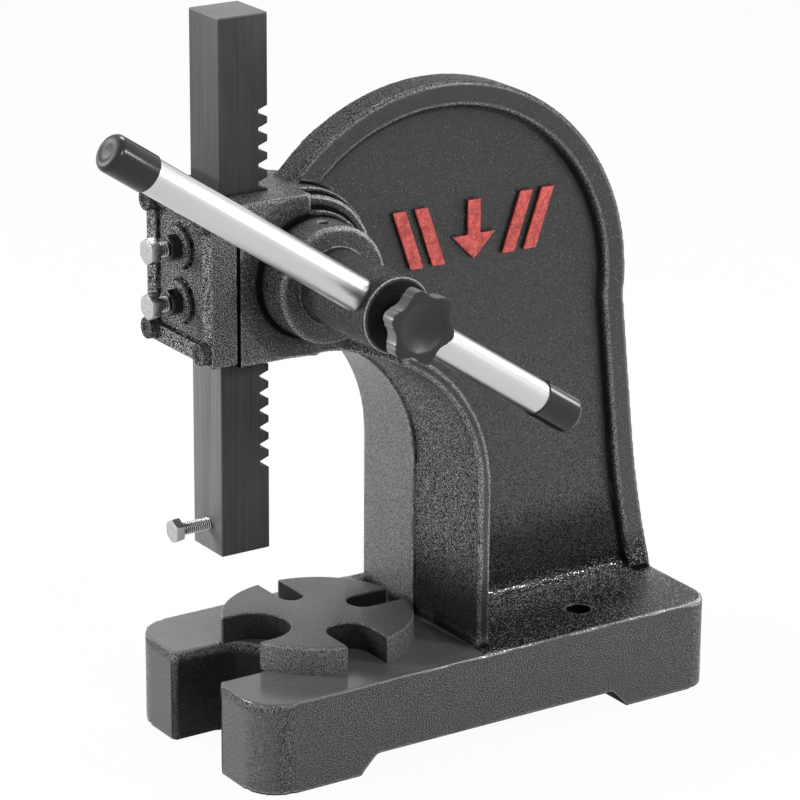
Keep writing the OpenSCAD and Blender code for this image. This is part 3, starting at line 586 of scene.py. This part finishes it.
# Painted light and shade: the front is painted lighter below the head and darker above it, the lever side
# darker and the top end lighter.
steel = (0.6 * front * z.between(0.205, 0.190) * (0.6 + 0.8 * lines)).blend(steel, (0.22, 0.22, 0.221))
steel = (0.45 * front * z.between(0.255, 0.270)).blend(steel, 0.008)
steel = (0.65 * lever_side).blend(steel, 0.022)
steel = (0.6 * top_end).blend((0.85 * paint_and_shade_band).blend(steel, 0.004), 0.20)
fill(shader, {"Base Color": steel, "Metallic": 0.2, "Specular IOR Level": 0.25,
              "Roughness": 0.42 + 0.18 * cloud,
              "Normal": ((0.6 * lines + 0.4 * pits) * (0.3 + 0.7 * front)).bump(0.0003, 0.6)})
bar.data.materials.append(oiled)
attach(bar, "ram")
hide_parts("ram")

# Tool clamp bolt: a zinc-plated hex bolt screwed into the ram's front near its lower end, where it
# holds the shank of a pressing tool. It is the same kind of screw as the adjusters, one size smaller.
tool_bolt_face = (0, -0.0318, 0.115)
tool_bolt = hex_screw("tool_bolt", across_flats=0.0099, head_t=0.0039, radius=0.003, length=0.0265,
                      pitch=0.001)
tool_bolt.data.transform(Matrix.Translation(tool_bolt_face))
tool_bolt.data.materials.append(zinc)
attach(tool_bolt, "ram")
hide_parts("tool_clamp_bolt")

# Pinion shaft: a turned steel shaft with the pinion cut in its middle, which runs in the head. Its outer
# end is cross-drilled for the lever and chamfered, and is left dark and oiled.
def refinished(node, material):
    """Gives a CAD node's own mesh another material."""
    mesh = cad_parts[node].data
    mesh.materials.clear()
    mesh.materials.append(material)


shaft_end_x = 0.100
turned_steel, shader, place = coated("dark_turned_steel")
from_end = shaft_end_x - place.parts()[0]
turning, pits = place.stretched((1800, 30, 30)).noise(1.0, 3.0), place.noise(1400, 3.0, 0.6)
end_face = from_end.between(0.0008, 0.0002)
chamfer = from_end.between(0.0019, 0.0016) * from_end.between(0.0010, 0.0013)
steel = (0.5 * turning + 0.5 * pits).between(0.36, 0.66).blend(0.010, 0.085)
# Painted highlights: bright specks scattered over the shaft.
steel = (0.7 * pits.between(0.58, 0.66)).blend(steel, 0.20)
steel = (0.85 * end_face).blend(steel, 0.004)
steel = (chamfer * (0.3 + 0.7 * pits.between(0.4, 0.55))).blend(steel, (0.40, 0.40, 0.41))
fill(shader, {"Base Color": steel, "Metallic": 0.6 * chamfer, "Roughness": 0.42 + 0.12 * pits,
              "Specular IOR Level": 0.06, "Normal": (0.5 * turning + 0.5 * pits).bump(0.0004, 0.6)})
refinished("pinion_shaft", turned_steel)

# Lever: a round steel bar with satin chrome plate, which slides through the shaft's cross hole.
# The plate is smooth, with faint draw lines along the bar.
lever_x, tilt = 0.087, math.radians(33.9)
chrome, shader, place = coated("satin_chrome")
draw = place.stretched((1200, 18, 1200), (-tilt, 0, 0)).noise(1.0, 3.0)
breath = place.noise(30, 3.0)
fill(shader, {"Base Color": breath.blend((0.56, 0.56, 0.57), (0.62, 0.62, 0.63)), "Metallic": 1.0,
              "Roughness": 0.27 + 0.08 * draw, "Normal": draw.bump(0.00003, 0.3)})
refinished("lever_bar", chrome)

# Lever caps: two dipped black vinyl caps pushed on the bar's ends. They are glossy and a little wavy, and
# the last drip has dried to a dull, shallow dish on their round ends, painted lighter as a painted sheen.
vinyl, shader, place = coated("dipped_vinyl")
wave = place.noise(90, 3.0)
x, y, z = place.parts()
drop = (y - shaft_y) * math.sin(tilt) + (z - shaft_z) * math.cos(tilt)
drip_and_sheen = circle(x - lever_x, drop, 0.0070, 0.0008)
rubber = wave.blend((0.006, 0.006, 0.007), (0.014, 0.014, 0.015))
# Painted sheen: the dull end dish is also painted lighter grey.
fill(shader, {"Base Color": (0.35 * drip_and_sheen).blend(rubber, 0.09), "Roughness": 0.16 + 0.08 * wave + 0.3 * drip_and_sheen,
              "Specular IOR Level": 0.4, "Normal": wave.bump(0.0003, 0.4)})
dish_steps = ((0.0003, 0), (0.0006, -0.0003), (0.0006, -0.0002),
              (0.0009, 0.0001), (0.0011, 0.00015), (0.0011, 0.0001))
to_front = Vector((0, -math.cos(tilt), math.sin(tilt)))
for end, outward in (("front", to_front), ("rear", -to_front)):
    lever_cap = copied("lever_cap_" + end, "vinyl_cap_" + end)
    bpy.ops.object.mode_set(mode="EDIT")
    bpy.ops.mesh.select_mode(type="FACE")
    bpy.ops.mesh.select_all(action="DESELECT")
    bpy.ops.object.mode_set(mode="OBJECT")
    for face in lever_cap.data.polygons:
        face.select = face.normal.dot(outward) > 0.9999
    bpy.ops.object.mode_set(mode="EDIT")
    for thickness, depth in dish_steps:
        bpy.ops.mesh.inset(thickness=thickness, depth=depth, use_even_offset=False)
    bpy.ops.mesh.select_mode(type="VERT")
    bpy.ops.object.mode_set(mode="OBJECT")
    bpy.ops.object.shade_smooth_by_angle(angle=math.radians(60))
    lever_cap.data.materials.append(vinyl)
    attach(lever_cap, "lever")
    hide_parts("lever_cap_" + end)

# Clamp knob: a six-lobed moulded knob with a dished face, screwed into the shaft's end by a steel stud
# that presses on the lever. The plastic is matt, with rounded edges, and the lobes' flanks are painted
# lighter as a painted highlight.
knob = copied("clamp_knob", "lobed_knob")
eased(knob, 0.0009, 4)
bpy.ops.object.shade_smooth_by_angle(angle=math.radians(35))
moulded, shader, place = coated("matt_plastic")
stipple, breath = place.noise(1700, 3.0, 0.6), place.noise(110, 3.0)
x, y, z = place.parts()
knob_face_x, dish_r = 0.1195, 0.0121
from_face = knob_face_x - x
dish = circle(y - shaft_y, z - shaft_z, dish_r, 0.0003)
lobes = from_face.between(0.0007, 0.0015) * from_face.between(0.0095, 0.0080) * (1 - dish)
# Painted highlight: the lobes' flanks are painted lighter grey.
plastic = (0.8 * lobes).blend(breath.blend(0.004, 0.010), (0.17, 0.17, 0.171))
fill(shader, {"Base Color": plastic, "Roughness": 0.30 + 0.10 * breath, "Specular IOR Level": 0.45,
              "Normal": stipple.bump(0.0002, 0.35)})
knob.data.materials.append(moulded)
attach(knob, "knob")
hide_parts("clamp_knob")
refinished("clamp_stud", zinc)

# Anvil plate: a loose grey iron disc with four notches of different widths, which turns on a dowel.
# Its top is surface ground and oiled; its rim and notches keep the casting's dark grain, the notches painted
# darker still as painted shade and the top's edge lighter as a painted highlight.
disc = copied("anvil_plate", "notched_plate")
eased(disc, 0.0008, 3)
bpy.ops.object.shade_smooth_by_angle(angle=math.radians(35))
grey_iron, shader, place = coated("grey_iron")
x, y, z = place.parts()
grain = place.stretched((1500, 2100, 2100)).noise(1.0, 2.0, 0.65).between(0.40, 0.60)
cloud, lines = place.noise(45, 3.0), place.stretched((70, 1600, 70)).noise(1.0, 3.0)
plate_top, plate_r = 0.05855, 0.0456
below = plate_top - z
top = below.between(0.00095, 0.00025)
arris = below.between(0.00135, 0.00085) * below.between(-0.00005, 0.00035)
notch = circle(x, y - pin_y, plate_r - 0.00085, 0.00025) * (1 - top)
# Painted shade: the notches' walls and the plate's underside are painted near black and dulled.
rough = (0.8 * notch).blend((0.75 * grain + 0.25 * cloud).blend(0.012, 0.28), 0.006)
ground = (0.3 * lines + 0.2 * cloud + 0.5 * grain).blend(0.004, 0.12)
# Painted highlight: a light ring along the top's edge.
fill(shader, {"Base Color": (0.5 * arris * grain).blend(top.blend(rough, ground), 0.45), "Metallic": 0.15,
              "Roughness": 0.44 - 0.28 * top + 0.1 * cloud, "Specular IOR Level": 0.85,
              "Normal": ((1 - 0.6 * top) * grain).bump(0.0006, 0.6)})
pitted(shader, (1 - (0.30 + 0.25 * (1 - top)) * (1 - grain)) * (1 - 0.6 * notch))
disc.data.materials.append(grey_iron)
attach(disc, "plate")
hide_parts("anvil_plate")
refinished("plate_pivot_pin", turned_steel)
